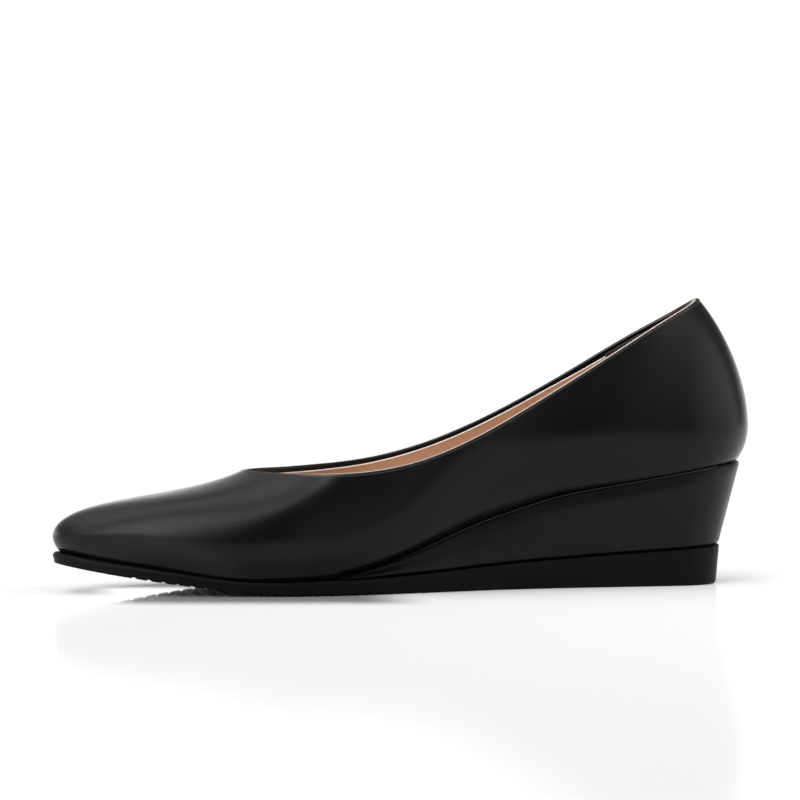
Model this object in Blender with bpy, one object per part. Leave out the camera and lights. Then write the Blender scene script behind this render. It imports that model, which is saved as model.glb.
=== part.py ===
"""Low-wedge slip-on court shoe for the left foot.

Four pieces, as a shoemaker puts them together: a ribbed rubber outsole, a covered wedge on it,
a lasted upper that is open at the topline and underneath, and an insole inside the upper.
The toe points along -X, the lateral (outer) side faces -Y and the sole stands on z = 0.
Sizes and tables are in millimetres; the meshes are scaled to metres when they are made.
"""

import bpy
import numpy as np

MM = 0.001

# Driving sizes
SOLE_LENGTH = 240.0
HEEL_ROUND = 22.0
HEEL_ROUND_POWER = 2.2
TOE_ROUND = 40.0
TOE_ROUND_POWER = 2.1
TOE_SPRING = 10.0
TOE_SPRING_START = 162.0
TOE_SPRING_POWER = 1.5
WALL = 1.8
JOINT_GAP = 0.3
LASTING_MARGIN = 11.0
INSOLE_THICKNESS = 3.0
INSOLE_CLEARANCE = 0.9

# Tread: straight ribs across the sole, with a groove after each land
RIB_FIRST = 38.0
RIB_LAST = 217.5
RIB_PITCH = 4.65
GROOVE_MOUTH = 1.9
GROOVE_FLOOR = 0.9
GROOVE_DEPTH = 1.3

# Edge roundings
SOLE_FOOT_INSET = 1.8
SOLE_FOOT_ROUND = 1.0
SOLE_TOP_ROUND = 0.7
WEDGE_FRONT = 144.0
WEDGE_FOOT_INSET = 1.9
WEDGE_FOOT_ROUND = 2.0
WEDGE_OVERHANG = 0.2
WEDGE_LEDGE = 1.0
WEDGE_TOP_ROUND = 0.8

# Mesh density
LOOP_POINTS = 480
UPPER_AROUND = 108
UPPER_WALL_STEPS = 13
INNER_WALL_START = 0.09
PLATE_STATIONS = 44
SMOOTH_ANGLE = 0.6
SWELL_PEAK = 3125 / 108

# Outsole outline before its two ends are rounded
SOLE_COLUMNS = ("along", "lateral", "medial")
SOLE_OUTLINE = (
    (0.0, 22.5, 22.5),
    (30.0, 22.8, 22.8),
    (55.0, 23.2, 22.0),
    (88.0, 26.5, 21.8),
    (110.0, 32.0, 25.0),
    (130.0, 37.0, 31.0),
    (152.0, 40.0, 36.8),
    (168.0, 39.2, 38.4),
    (182.0, 36.0, 37.4),
    (200.0, 30.8, 33.4),
    (218.0, 25.4, 28.2),
    (240.0, 20.5, 22.5),
)

# Height of the outsole's top, and how thick the wedge is between it and the bed of the upper
LEVEL_COLUMNS = ("along", "outsole_top", "wedge")
LEVELS = (
    (-12.0, 14.8, 29.9),
    (10.0, 13.5, 28.4),
    (29.0, 12.35, 26.5),
    (53.0, 11.0, 24.0),
    (70.0, 9.95, 21.6),
    (80.0, 9.3, 19.3),
    (98.0, 7.95, 14.8),
    (110.0, 7.0, 10.9),
    (125.0, 6.05, 6.05),
    (140.0, 5.35, 2.25),
    (150.0, 5.15, 0.4),
    (160.0, 4.8, 0.0),
    (176.0, 4.8, 0.0),
    (201.0, 7.8, 0.0),
    (222.0, 11.0, 0.0),
    (242.0, 14.2, 0.0),
)

# Upper: one row for each section around the shoe, from the toe along the lateral side to the heel
# and back along the medial side. A section is a curve from the feather line, where the upper meets
# the sole, to the topline. foot_out and foot_up shape its lower half, top_out and top_down its upper,
# and swell fills out the part below its middle.
SECTION_COLUMNS = (
    "feather_along", "feather_across", "foot_out", "foot_up",
    "top_along", "top_across", "top_height", "top_out", "top_down", "swell",
)
UPPER_SECTIONS = (
    (237.5, 0.6, 14.0, 14.6, 173.2, 2.0, 41.6, 25.0, 11.6, 2.0),
    (231.7, -11.4, 12.9, 14.7, 172.4, -5.4, 41.5, 24.2, 10.8, 1.7),
    (217.4, -21.4, 10.5, 15.0, 170.0, -12.8, 41.3, 21.5, 8.6, 1.1),
    (198.3, -29.6, 8.4, 15.2, 165.0, -21.6, 41.1, 15.6, 7.6, 0.2),
    (176.1, -35.7, 6.9, 14.0, 155.0, -33.0, 41.0, 6.5, 9.0, 0.0),
    (152.0, -37.4, 6.0, 12.5, 140.0, -38.0, 41.4, 0.7, 10.5, 0.0),
    (128.0, -34.0, 8.0, 8.5, 121.0, -39.4, 44.8, 0.8, 11.0, 0.0),
    (104.0, -28.2, 8.5, 6.5, 100.0, -39.2, 53.0, -0.2, 12.0, 0.0),
    (77.0, -24.8, 10.0, 8.5, 76.0, -34.0, 65.6, 3.0, 15.0, 0.0),
    (48.0, -24.8, 10.3, 10.5, 49.0, -28.6, 81.1, 5.0, 21.0, 0.0),
    (22.0, -24.6, 8.5, 10.5, 25.5, -21.4, 94.4, 7.0, 22.5, 0.0),
    (1.6, -17.6, 9.7, 12.0, 11.8, -10.4, 101.0, 11.5, 17.0, 0.0),
    (-7.3, 0.0, 10.8, 11.0, 6.9, 0.0, 103.6, 15.2, 16.5, 0.0),
    (1.6, 17.6, 9.7, 12.0, 10.4, 11.6, 100.0, 10.0, 17.0, 0.0),
    (22.0, 24.4, 8.5, 13.0, 25.5, 21.0, 90.6, 7.0, 20.0, 0.0),
    (48.0, 23.6, 9.5, 14.0, 49.0, 27.2, 76.2, 5.5, 19.0, 0.0),
    (77.0, 20.8, 12.0, 14.0, 76.0, 29.8, 61.4, 4.5, 18.0, 0.0),
    (104.0, 21.6, 12.0, 13.0, 100.0, 30.4, 51.1, 4.5, 17.0, 0.0),
    (128.0, 27.6, 9.0, 12.0, 121.0, 32.4, 45.3, 5.0, 12.0, 0.0),
    (158.0, 35.0, 7.0, 14.0, 143.0, 30.6, 42.7, 7.0, 10.0, 0.0),
    (180.1, 35.8, 6.9, 15.0, 157.5, 24.8, 41.9, 11.5, 7.6, 0.0),
    (200.3, 31.6, 8.4, 16.1, 165.8, 18.4, 41.7, 17.5, 8.0, 0.0),
    (218.4, 23.3, 10.5, 16.2, 170.5, 12.8, 41.5, 21.8, 9.2, 1.8),
    (232.0, 12.2, 12.9, 15.0, 172.5, 7.6, 41.6, 24.4, 10.8, 2.0),
)


def column(table, columns, name):
    """One named column of a table, as an array."""
    return np.array([row[columns.index(name)] for row in table])


def spline_slopes(knots, values, closed):
    """Slopes at the knots of the cubic spline with continuous curvature through the values."""
    steps = np.diff(knots)
    count = len(values)
    matrix = np.zeros((count, count))
    right = np.zeros(values.shape)
    rises = np.diff(values, axis=0, append=values[:1])
    if closed:
        before = np.roll(steps, 1)
        index = np.arange(count)
        matrix[index, index] = 2 * (steps + before)
        matrix[index, index - 1] += steps
        matrix[index, (index + 1) % count] += before
        chord = rises / steps[:, None]
        right = 3 * (before[:, None] * chord + steps[:, None] * np.roll(chord, 1, axis=0))
    else:
        chord = rises[:-1] / steps[:, None]
        inner = np.arange(1, count - 1)
        matrix[inner, inner] = 2 * (steps[1:] + steps[:-1])
        matrix[inner, inner - 1] = steps[1:]
        matrix[inner, inner + 1] = steps[:-1]
        right[inner] = 3 * (steps[:-1, None] * chord[1:] + steps[1:, None] * chord[:-1])
        matrix[0, :2] = (2, 1)
        matrix[-1, -2:] = (1, 2)
        right[0] = 3 * chord[0]
        right[-1] = 3 * chord[-1]
    return np.linalg.solve(matrix, right)


def spline(knots, values, at, closed=False):
    """The cubic spline through values at knots. A closed one has one more knot than values."""
    knots = np.asarray(knots, float)
    values = np.asarray(values, float).reshape(len(values), -1)
    slopes = spline_slopes(knots, values, closed)
    if closed:
        values = np.vstack([values, values[:1]])
        slopes = np.vstack([slopes, slopes[:1]])
    at = np.asarray(at, float)
    index = np.clip(np.searchsorted(knots, at, side="right") - 1, 0, len(knots) - 2)
    step = (knots[index + 1] - knots[index])[:, None]
    share = (at - knots[index])[:, None] / step
    low, high = values[index], values[index + 1]
    return (
        low * (1 + 2 * share) * (1 - share) ** 2
        + high * share**2 * (3 - 2 * share)
        + step * share * (1 - share) * (slopes[index] * (1 - share) - slopes[index + 1] * share)
    )


# Heights along the shoe

LEVEL_ALONG = column(LEVELS, LEVEL_COLUMNS, "along")


def outsole_top(along):
    return spline(LEVEL_ALONG, column(LEVELS, LEVEL_COLUMNS, "outsole_top"), along)[:, 0]


def bed(along):
    """The surface that the upper is lasted down to: the wedge's top, then the outsole's at the front."""
    wedge = spline(LEVEL_ALONG, column(LEVELS, LEVEL_COLUMNS, "wedge"), along)[:, 0]
    return outsole_top(along) + np.maximum(wedge, 0.0)


def tread_land(along):
    """The sole's underside: flat on the floor, then the toe spring."""
    share = np.clip((along - TOE_SPRING_START) / (SOLE_LENGTH - TOE_SPRING_START), 0, None)
    return TOE_SPRING * share**TOE_SPRING_POWER


# Outlines in plan, as closed loops of (along, across) with the lateral side negative


def end_round(distance, length, power):
    """The share of its full width that an outline has at a distance from its rounded end."""
    short = 1 - np.clip(distance / length, 0, 1)
    return (1 - short**power) ** (1 / power)


def sole_loop():
    """The outsole's outline: the table's widths, closed by a round heel and a long round toe."""
    turn = np.linspace(0, np.pi, LOOP_POINTS // 2 + 1)
    along = SOLE_LENGTH * (1 + np.cos(turn)) / 2
    ends = end_round(along, HEEL_ROUND, HEEL_ROUND_POWER)
    ends = ends * end_round(SOLE_LENGTH - along, TOE_ROUND, TOE_ROUND_POWER)
    knots = column(SOLE_OUTLINE, SOLE_COLUMNS, "along")
    lateral = ends * spline(knots, column(SOLE_OUTLINE, SOLE_COLUMNS, "lateral"), along)[:, 0]
    medial = ends * spline(knots, column(SOLE_OUTLINE, SOLE_COLUMNS, "medial"), along)[:, 0]
    there = np.column_stack([along, -lateral])
    back = np.column_stack([along, medial])[-2:0:-1]
    return np.vstack([there, back])


def outward(loop):
    """Unit normals of a closed loop that runs from the toe along the lateral side to the heel."""
    tangent = np.roll(loop, -1, axis=0) - np.roll(loop, 1, axis=0)
    normal = np.column_stack([-tangent[:, 1], tangent[:, 0]])
    return normal / np.linalg.norm(normal, axis=1)[:, None]


def offset(loop, distance):
    """The loop moved outwards by a distance, or inwards by a negative one."""
    return loop + distance * outward(loop)


def half_widths(loop, along):
    """The loop's lateral and medial sides at the given places along it."""
    toe, heel = np.argmax(loop[:, 0]), np.argmin(loop[:, 0])
    turned = np.roll(loop, -toe, axis=0)
    heel = (heel - toe) % len(loop)
    lateral = turned[: heel + 1][::-1]
    medial = np.vstack([turned[heel:], turned[:1]])
    return [np.interp(along, side[:, 0], side[:, 1]) for side in (lateral, medial)]


# The upper's surface


def section_frame():
    """Four control points and a swell for each row of the upper's table, and the closed spline's knots."""
    named = {name: column(UPPER_SECTIONS, SECTION_COLUMNS, name) for name in SECTION_COLUMNS}
    feather = np.column_stack([named["feather_along"], named["feather_across"]])
    top = np.column_stack([named["top_along"], named["top_across"], named["top_height"]])
    middle = (feather + top[:, :2]) / 2
    steps = np.linalg.norm(np.roll(middle, -1, axis=0) - middle, axis=1)
    knots = np.concatenate([[0], np.cumsum(steps)])
    facing = outward(feather)
    flat = np.column_stack([facing, np.zeros(len(feather))])
    lift = np.array([0, 0, 1.0])
    foot = np.column_stack([feather, bed(feather[:, 0]) + JOINT_GAP])
    low = foot + named["foot_out"][:, None] * flat + named["foot_up"][:, None] * lift
    high = top + named["top_out"][:, None] * flat - named["top_down"][:, None] * lift
    rise = (top - foot)[:, 2:]
    reach = np.sum((top - foot) * flat, axis=1)[:, None]
    square = (rise * flat - reach * lift) / np.hypot(rise, reach)
    swell = named["swell"][:, None] * square
    return knots, np.concatenate([foot, low, high, top, swell], axis=1)


def upper_controls(count):
    """The control points and the swell at even steps around the shoe, as an array of count by 5 by 3."""
    knots, rows = section_frame()
    at = np.linspace(0, knots[-1], count, endpoint=False)
    controls = spline(knots, rows, at, closed=True).reshape(count, 5, 3)
    controls[:, 0, 2] = bed(controls[:, 0, 0]) + JOINT_GAP
    return controls


def section_points(controls, share):
    """Points at shares of each section's cubic curve, feather line to topline, with its swell added."""
    s = np.asarray(share, float)
    weights = np.stack([
        (1 - s) ** 3,
        3 * s * (1 - s) ** 2,
        3 * s**2 * (1 - s),
        s**3,
        SWELL_PEAK * s**2 * (1 - s) ** 3,
    ])
    return np.einsum("kj,ikx->ijx", weights, controls)


def surface_normals(points, shares, controls):
    """Unit normals, pointing out of the shoe, from the slopes around it and up it."""
    around = np.roll(points, -1, axis=0) - np.roll(points, 1, axis=0)
    s = np.asarray(shares, float)
    slopes = np.stack([
        -3 * (1 - s) ** 2,
        3 * (1 - s) ** 2 - 6 * s * (1 - s),
        6 * s * (1 - s) - 3 * s**2,
        3 * s**2,
        SWELL_PEAK * s * (1 - s) ** 2 * (2 - 5 * s),
    ])
    up = np.einsum("kj,ikx->ijx", slopes, controls)
    normal = np.cross(up, around)
    return normal / np.linalg.norm(normal, axis=2)[:, :, None]


def upper_wall(count, shares, depth):
    """A surface that lies a depth inside the upper's outer face."""
    controls = upper_controls(count)
    points = section_points(controls, shares)
    return points - depth * surface_normals(points, shares, controls)


def feather_loop():
    return upper_controls(LOOP_POINTS)[:, 0, :2]


# Solids: each gives its points in (along, across, height) and its faces


def grid_faces(rows, points, close_rows):
    """Quads between neighbouring rows of a grid whose every row is a closed loop of points."""
    row = np.arange(rows if close_rows else rows - 1)[:, None]
    point = np.arange(points)[None, :]
    after_row, after = (row + 1) % rows, (point + 1) % points
    corners = [row * points + point, row * points + after, after_row * points + after,
               after_row * points + point]
    return np.stack(corners, axis=-1).reshape(-1, 4).tolist()


def plate(shares, layers):
    """A solid between layers from bottom to top, each an outline, its extent and its height.

    Every share of the extent gives one section across all layers, and the two ends are capped.
    """
    lateral, medial = [], []
    for loop, (start, end), height in layers:
        along = start + (end - start) * shares
        sides = half_widths(loop, along)
        level = height(along)
        lateral.append(np.column_stack([along, sides[0], level]))
        medial.append(np.column_stack([along, sides[1], level]))
    sections = np.stack(lateral + medial[::-1], axis=1)
    rows, points = sections.shape[:2]
    faces = grid_faces(rows, points, close_rows=False)
    first = list(range(points))[::-1]
    last = list(range((rows - 1) * points, rows * points))
    return sections.reshape(-1, 3), faces + [first, last]


def extent(loop, end=None):
    """From just inside the loop's heel end to just inside its toe end, or to a given end."""
    hair = 0.05
    return loop[:, 0].min() + hair, loop[:, 0].max() - hair if end is None else end


def rounded_shares(count):
    """Shares from 0 to 1 that crowd together at both ends, where an outline turns fast."""
    return (1 - np.cos(np.linspace(0, np.pi, count))) / 2


def outsole():
    """A rubber unit with a flat heel and forefoot, toe spring, and ribs that show along its lower edge."""
    outline = sole_loop()
    slope = (GROOVE_MOUTH - GROOVE_FLOOR) / 2
    profile = (0.0, slope, slope + GROOVE_FLOOR, GROOVE_MOUTH)
    depths = (0.0, GROOVE_DEPTH, GROOVE_DEPTH, 0.0)
    starts = np.arange(RIB_FIRST, RIB_LAST, RIB_PITCH)
    ribs = (starts[:, None] + np.array(profile)).ravel()
    ends = SOLE_LENGTH * rounded_shares(PLATE_STATIONS)
    plain = ends[(ends < RIB_FIRST - slope) | (ends > ribs[-1] + slope)]
    stations = np.sort(np.concatenate([plain, ribs]))
    groove = np.interp(stations, ribs, np.tile(depths, len(starts)), left=0, right=0)

    def rib_height(along):
        return tread_land(along) + groove

    def foot_height(along):
        return rib_height(along) + SOLE_FOOT_ROUND

    def side_top(along):
        return outsole_top(along) - SOLE_TOP_ROUND

    foot = offset(outline, -SOLE_FOOT_INSET)
    side = offset(outline, -SOLE_FOOT_INSET / 2)
    rim = offset(outline, -SOLE_TOP_ROUND)
    return plate(stations / SOLE_LENGTH, (
        (foot, extent(foot), rib_height),
        (side, extent(side), foot_height),
        (outline, extent(outline), side_top),
        (rim, extent(rim), outsole_top),
    ))


def wedge():
    """The covered wedge: it runs out to a thin front edge and tapers towards the outsole."""
    sole, feather = sole_loop(), feather_loop()
    foot = offset(sole, -WEDGE_FOOT_INSET)
    side = offset(sole, WEDGE_OVERHANG)
    ledge = offset(feather, WEDGE_LEDGE)
    top = offset(feather, WEDGE_LEDGE - WEDGE_TOP_ROUND)

    def thickness(along):
        return bed(along) - outsole_top(along) - JOINT_GAP

    def foot_height(along):
        return outsole_top(along) + JOINT_GAP

    def side_height(along):
        return foot_height(along) + np.minimum(WEDGE_FOOT_ROUND, thickness(along) / 3)

    def ledge_height(along):
        return bed(along) - np.minimum(WEDGE_TOP_ROUND, thickness(along) / 3)

    shares = 1 - np.cos(np.linspace(0, np.pi / 2, PLATE_STATIONS))
    return plate(shares, (
        (foot, extent(foot, WEDGE_FRONT), foot_height),
        (side, extent(side, WEDGE_FRONT), side_height),
        (ledge, extent(ledge, WEDGE_FRONT), ledge_height),
        (top, extent(top, WEDGE_FRONT), bed),
    ))


def upper():
    """A thin wall from topline to feather line, turned in under the foot as a lasting margin."""
    inner = upper_wall(UPPER_AROUND, np.linspace(INNER_WALL_START, 1, UPPER_WALL_STEPS), WALL)
    outer = upper_wall(UPPER_AROUND, np.linspace(1, 0, UPPER_WALL_STEPS), 0.0)
    feather = outer[:, -1, :2]

    def turned_in(distance, lift):
        loop = offset(feather, -distance)
        return np.column_stack([loop, bed(loop[:, 0]) + JOINT_GAP + lift])[:, None]

    edge_low = turned_in(LASTING_MARGIN, 0.0)
    edge_high = turned_in(LASTING_MARGIN, WALL)
    corner = turned_in(WALL + JOINT_GAP, WALL)
    sections = np.concatenate([edge_high, corner, inner, outer, edge_low], axis=1)
    rows, points = sections.shape[:2]
    return sections.reshape(-1, 3), grid_faces(rows, points, close_rows=True)


def insole():
    """A board on the lasting margin, whose upper edge follows the wall around it."""
    level = 2 * JOINT_GAP + WALL
    foot = offset(feather_loop(), -WALL - 2 * INSOLE_CLEARANCE)
    edge = upper_wall(LOOP_POINTS, [INNER_WALL_START], WALL + INSOLE_CLEARANCE)[:, 0, :2]

    def under(along):
        return bed(along) + level

    def top(along):
        return bed(along) + level + INSOLE_THICKNESS

    return plate(rounded_shares(PLATE_STATIONS), (
        (foot, extent(foot), under),
        (edge, extent(edge), top),
    ))


# Materials and objects

BLACK_RUBBER = ((0.012, 0.012, 0.013), 0.62)
BLACK_COVER = ((0.010, 0.010, 0.011), 0.42)
BLACK_LEATHER = ((0.010, 0.010, 0.011), 0.40)
TAN_SOCK = ((0.52, 0.31, 0.19), 0.65)

PIECES = (
    ("outsole", outsole, BLACK_RUBBER),
    ("wedge", wedge, BLACK_COVER),
    ("upper", upper, BLACK_LEATHER),
    ("insole", insole, TAN_SOCK),
)


def make_material(name, colour, roughness):
    material = bpy.data.materials.new(name)
    material.use_nodes = True
    shader = material.node_tree.nodes["Principled BSDF"]
    shader.inputs["Base Color"].default_value = (*colour, 1.0)
    shader.inputs["Roughness"].default_value = roughness
    shader.inputs["Metallic"].default_value = 0.0
    return material


def make_object(name, points, faces, finish):
    mesh = bpy.data.meshes.new(name)
    mesh.from_pydata((points * MM).tolist(), [], faces)
    mesh.shade_smooth()
    mesh.set_sharp_from_angle(angle=SMOOTH_ANGLE)
    mesh.materials.append(make_material(name, *finish))
    mesh.update()
    bpy.context.scene.collection.objects.link(bpy.data.objects.new(name, mesh))


def main():
    for thing in list(bpy.data.objects):
        bpy.data.objects.remove(thing)
    solids = {name: build() for name, build, _ in PIECES}
    every = np.vstack([points for points, _ in solids.values()])
    middle = (every.min(axis=0) + every.max(axis=0)) / 2
    for name, _, finish in PIECES:
        points, faces = solids[name]
        placed = np.column_stack([
            middle[0] - points[:, 0],
            points[:, 1] - middle[1],
            points[:, 2],
        ])
        make_object(name, placed, faces, finish)


main()
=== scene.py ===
import bmesh
import bpy
import numpy as np
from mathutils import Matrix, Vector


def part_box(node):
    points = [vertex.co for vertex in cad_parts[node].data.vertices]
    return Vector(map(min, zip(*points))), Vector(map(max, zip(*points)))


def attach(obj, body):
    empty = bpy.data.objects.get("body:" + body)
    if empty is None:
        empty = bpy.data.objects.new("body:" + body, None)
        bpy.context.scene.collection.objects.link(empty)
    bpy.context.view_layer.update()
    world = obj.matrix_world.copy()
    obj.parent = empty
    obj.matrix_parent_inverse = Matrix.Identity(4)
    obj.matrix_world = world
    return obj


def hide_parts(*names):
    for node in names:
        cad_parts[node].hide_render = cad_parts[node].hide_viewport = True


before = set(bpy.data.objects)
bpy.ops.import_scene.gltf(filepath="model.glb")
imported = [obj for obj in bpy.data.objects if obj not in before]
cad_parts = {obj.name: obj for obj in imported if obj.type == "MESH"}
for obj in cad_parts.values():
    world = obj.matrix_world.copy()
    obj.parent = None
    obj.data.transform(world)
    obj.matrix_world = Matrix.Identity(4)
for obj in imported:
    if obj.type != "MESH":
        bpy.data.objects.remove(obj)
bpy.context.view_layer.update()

# Outsole
# One moulded unit of matte black rubber, thin under the ball, thicker to the heel and sprung at the toe.
# Straight ribs run right across its tread, so their ends notch the lower edge. It is cemented on last.

MM = 0.001
BODY = "root"
MERGE_DISTANCE = 1e-6
SHARP_ANGLE = 0.75

SOLE_LENGTH = 240.0
HEEL_ROUND = 22.0
HEEL_ROUND_POWER = 2.2
TOE_ROUND = 40.0
TOE_ROUND_POWER = 2.1
TOE_SPRING = 10.0
TOE_SPRING_START = 162.0
TOE_SPRING_POWER = 1.5
SOLE_FOOT_INSET = 2.2
SOLE_FOOT_ROUND = 1.4
SOLE_TOP_ROUND = 0.7
SOLE_TIP_ROUND = 1.4
SOLE_TIP_LEAN = 0.35
SOLE_TIP_START = 200.0
SOLE_TIP_REACH = 32.0
RIB_FIRST = 38.0
RIB_LAST = 217.5
RIB_PITCH = 4.65
GROOVE_MOUTH = 1.9
GROOVE_FLOOR = 0.9
GROOVE_DEPTH = 1.2
NOTCH_DEPTH = 0.45
NOTCH_START = 100.0
NOTCH_FADE = 30.0
TREAD_ACROSS = (0.98, 0.94, 0.84, 0.5, 0.16, 0.06, 0.02)
LOOP_POINTS = 2400
HEEL_STEPS = 26
TOE_STEPS = 34
RIB_STEPS = (0.0, 0.1, 0.2, 0.3, 0.4, 0.5, 0.95, 1.4, 1.5, 1.6, 1.7, 1.8, 1.9, 2.5, 3.3, 4.1)
SOLE_ROUND_STEPS = 5
SOLE_SIDE_STEPS = 5
RUBBER_DARK = (0.0016, 0.0016, 0.0018)
RUBBER_GREY = (0.0034, 0.0034, 0.0037)
RUBBER_DULLNESS = (0.42, 0.56)
RUBBER_SHINE = 0.08
PATCH_SCALE = 90.0
PATCH_RANGE = (0.3, 0.7)
GRIT_SCALE = 2400.0
GRIT_STRENGTH = 0.35
GRIT_DEPTH = 0.00012

# Half widths of the outline before its two ends are rounded: along, lateral, medial
SOLE_OUTLINE = np.array([
    (0.0, 22.5, 22.5),
    (30.0, 22.8, 22.8),
    (55.0, 23.2, 22.0),
    (88.0, 26.5, 21.8),
    (110.0, 32.0, 25.0),
    (130.0, 37.0, 31.0),
    (152.0, 40.0, 36.8),
    (168.0, 39.2, 38.4),
    (182.0, 36.0, 37.4),
    (200.0, 30.8, 33.4),
    (218.0, 25.4, 28.2),
    (240.0, 20.5, 22.5),
])

# Height of the outsole's top along the shoe
SOLE_TOP = np.array([
    (-12.0, 14.8),
    (10.0, 13.5),
    (29.0, 12.35),
    (53.0, 11.0),
    (70.0, 9.95),
    (80.0, 9.3),
    (98.0, 7.95),
    (110.0, 7.0),
    (125.0, 6.05),
    (140.0, 5.35),
    (150.0, 5.15),
    (160.0, 4.8),
    (176.0, 4.8),
    (201.0, 7.8),
    (222.0, 11.0),
    (242.0, 14.2),
])


def spline_slopes(knots, values, closed):
    """Slopes at the knots of the cubic spline with continuous curvature: a linear equation each."""
    steps = np.diff(knots)
    count = len(values)
    matrix = np.zeros((count, count))
    right = np.zeros(values.shape)
    rises = np.diff(values, axis=0, append=values[:1])
    if closed:
        before = np.roll(steps, 1)
        index = np.arange(count)
        matrix[index, index] = 2 * (steps + before)
        matrix[index, index - 1] += steps
        matrix[index, (index + 1) % count] += before
        chord = rises / steps[:, None]
        right = 3 * (before[:, None] * chord + steps[:, None] * np.roll(chord, 1, axis=0))
    else:
        chord = rises[:-1] / steps[:, None]
        inner = np.arange(1, count - 1)
        matrix[inner, inner] = 2 * (steps[1:] + steps[:-1])
        matrix[inner, inner - 1] = steps[1:]
        matrix[inner, inner + 1] = steps[:-1]
        right[inner] = 3 * (steps[:-1, None] * chord[1:] + steps[1:, None] * chord[:-1])
        matrix[0, :2] = (2, 1)
        matrix[-1, -2:] = (1, 2)
        right[0] = 3 * chord[0]
        right[-1] = 3 * chord[-1]
    return np.linalg.solve(matrix, right)


def spline(knots, values, at, closed=False):
    """The cubic through values at knots, each stretch from its two ends and their slopes.

    A closed spline has one more knot than values, and comes back to its first value there.
    """
    knots = np.asarray(knots, float)
    values = np.asarray(values, float).reshape(len(values), -1)
    slopes = spline_slopes(knots, values, closed)
    if closed:
        values = np.vstack([values, values[:1]])
        slopes = np.vstack([slopes, slopes[:1]])
    at = np.asarray(at, float)
    index = np.clip(np.searchsorted(knots, at, side="right") - 1, 0, len(knots) - 2)
    step = (knots[index + 1] - knots[index])[:, None]
    share = (at - knots[index])[:, None] / step
    low, high = values[index], values[index + 1]
    return (
        low * (1 + 2 * share) * (1 - share) ** 2
        + high * share**2 * (3 - 2 * share)
        + step * share * (1 - share) * (slopes[index] * (1 - share) - slopes[index + 1] * share)
    )


def smooth_step(share):
    """A rise from 0 to 1 that is level at both ends: three squares less two cubes."""
    share = np.clip(share, 0, 1)
    return share**2 * (3 - 2 * share)


def outsole_top(along):
    """The height of the outsole's upper face: a spline through the table."""
    return spline(SOLE_TOP[:, 0], SOLE_TOP[:, 1], along)[:, 0]


def tread_land(along):
    """The height of the tread: level, then a power of the distance towards the sprung toe."""
    share = np.clip((along - TOE_SPRING_START) / (SOLE_LENGTH - TOE_SPRING_START), 0, None)
    return TOE_SPRING * share**TOE_SPRING_POWER


def groove(along):
    """The share of a groove's depth that is cut away: down and up again over sloped walls."""
    place = (along - RIB_FIRST) % RIB_PITCH
    slope = (GROOVE_MOUTH - GROOVE_FLOOR) / 2
    cut = smooth_step(np.minimum(place, GROOVE_MOUTH - place) / slope)
    return np.where((along > RIB_FIRST) & (along < RIB_LAST), cut, 0.0)


def end_round(distance, length, power):
    """The share of its full width that an outline has near a superelliptic end."""
    short = 1 - np.clip(distance / length, 0, 1)
    return (1 - short**power) ** (1 / power)


def round_end_steps(length, power, count):
    """Distances from the tip of a superelliptic end, at even turns round it."""
    turn = np.linspace(0, np.pi / 2, count)
    return length * (1 - (1 - np.sin(turn) ** power) ** (1 / power))


def sole_loop():
    """The outline in plan, toe to heel laterally and back: spline widths times both round ends."""
    turn = np.linspace(0, np.pi, LOOP_POINTS // 2 + 1)
    along = SOLE_LENGTH * (1 + np.cos(turn)) / 2
    ends = end_round(along, HEEL_ROUND, HEEL_ROUND_POWER)
    ends = ends * end_round(SOLE_LENGTH - along, TOE_ROUND, TOE_ROUND_POWER)
    sides = ends[:, None] * spline(SOLE_OUTLINE[:, 0], SOLE_OUTLINE[:, 1:], along)
    there = np.column_stack([along, -sides[:, 0]])
    back = np.column_stack([along, sides[:, 1]])[-2:0:-1]
    return np.vstack([there, back])


def outward(loop):
    """Unit normals in plan of a loop that runs from the toe along the lateral side to the heel."""
    tangent = np.roll(loop, -1, axis=0) - np.roll(loop, 1, axis=0)
    normal = np.column_stack([-tangent[:, 1], tangent[:, 0]])
    return normal / np.linalg.norm(normal, axis=1)[:, None]


def offset(loop, distance):
    """The loop moved outwards along its normals."""
    return loop + distance * outward(loop)


def edge_pair(loop, shares, end=None):
    """The lateral and the medial edge of a loop, at shares of its length from the heel to the toe."""
    toe, heel = np.argmax(loop[:, 0]), np.argmin(loop[:, 0])
    turned = np.roll(loop, -toe, axis=0)
    heel = (heel - toe) % len(loop)
    sides = (turned[: heel + 1][::-1], np.vstack([turned[heel:], turned[:1]]))
    start = turned[heel, 0]
    along = start + ((turned[0, 0] if end is None else end) - start) * shares
    return np.stack([np.column_stack([along, np.interp(along, *side.T)]) for side in sides])


def layer(edges, height):
    """A pair of edges with its height at each place."""
    return np.concatenate([edges, np.broadcast_to(height, edges.shape[:2])[:, :, None]], axis=2)


def grid_faces(rows, points, close_rows=False):
    """Quads between neighbouring rows of a grid, whose rows are closed loops of points."""
    row = np.arange(rows if close_rows else rows - 1)[:, None]
    point = np.arange(points)[None, :]
    after_row, after = (row + 1) % rows, (point + 1) % points
    corners = [row * points + point, row * points + after, after_row * points + after,
               after_row * points + point]
    return np.stack(corners, axis=-1).reshape(-1, 4).tolist()


def end_caps(rows, points):
    """The faces that close the first and the last row of a grid."""
    return [list(range(points))[::-1], list(range((rows - 1) * points, rows * points))]


def lofted(layers):
    """Sections across a stack of layers, up the lateral side and down the medial one."""
    layers = np.stack(layers, axis=2)
    return np.concatenate([layers[0], layers[1][:, ::-1]], axis=1)


sole_outline = sole_loop()
heel_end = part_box("outsole")[1][0] / MM - sole_outline[:, 0].min()
centre_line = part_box("outsole")[0][1] / MM - sole_outline[:, 1].min()


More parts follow.
